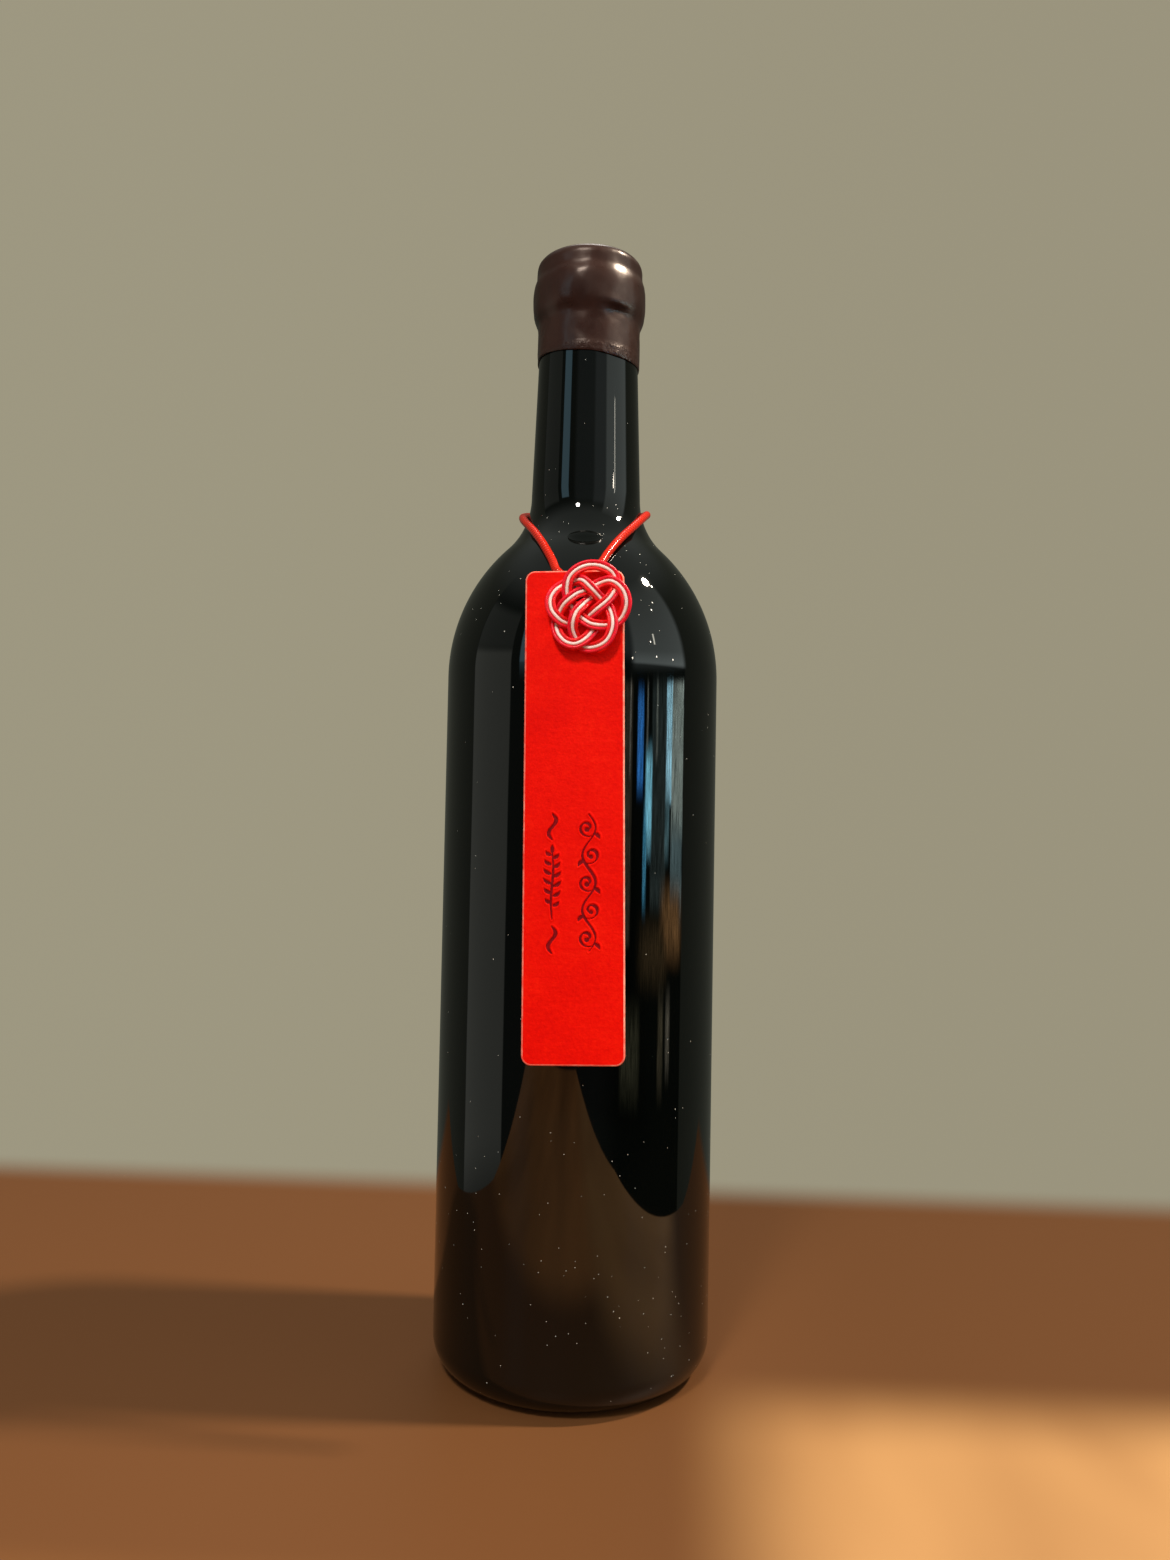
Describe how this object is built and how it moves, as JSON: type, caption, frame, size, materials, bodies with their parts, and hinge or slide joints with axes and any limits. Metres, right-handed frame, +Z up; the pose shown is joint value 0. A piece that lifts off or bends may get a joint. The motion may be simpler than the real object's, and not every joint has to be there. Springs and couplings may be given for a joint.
{
  "type": "wine bottle",
  "caption": "High-shouldered dark glass wine bottle with a wax-dipped top, and a leather gift tag hung on a neck cord under a plum-blossom knot.",
  "frame": {"origin": "centre of the bottle's foot: on its axis, in the plane that it stands on", "axes": "+Z up along the bottle's axis, -Y towards the tag's front, +X to the right as seen from the front"},
  "size_m": [0.075, 0.0864, 0.3059],
  "materials": {
    "bottle_glass": "gloss",
    "seal_wax": "satin",
    "tag_leather": "satin",
    "cord": "gloss",
    "strand_crimson": "gloss",
    "strand_pale": "gloss",
    "strand_red": "gloss"
  },
  "bodies": {
    "root": {"bottle": "bottle_glass", "wax_seal": "seal_wax", "tag": "tag_leather", "neck_cord": "cord", "knot_strand_outer": "strand_crimson", "knot_strand_middle": "strand_pale", "knot_strand_inner": "strand_red"}
  },
  "joints": []
}
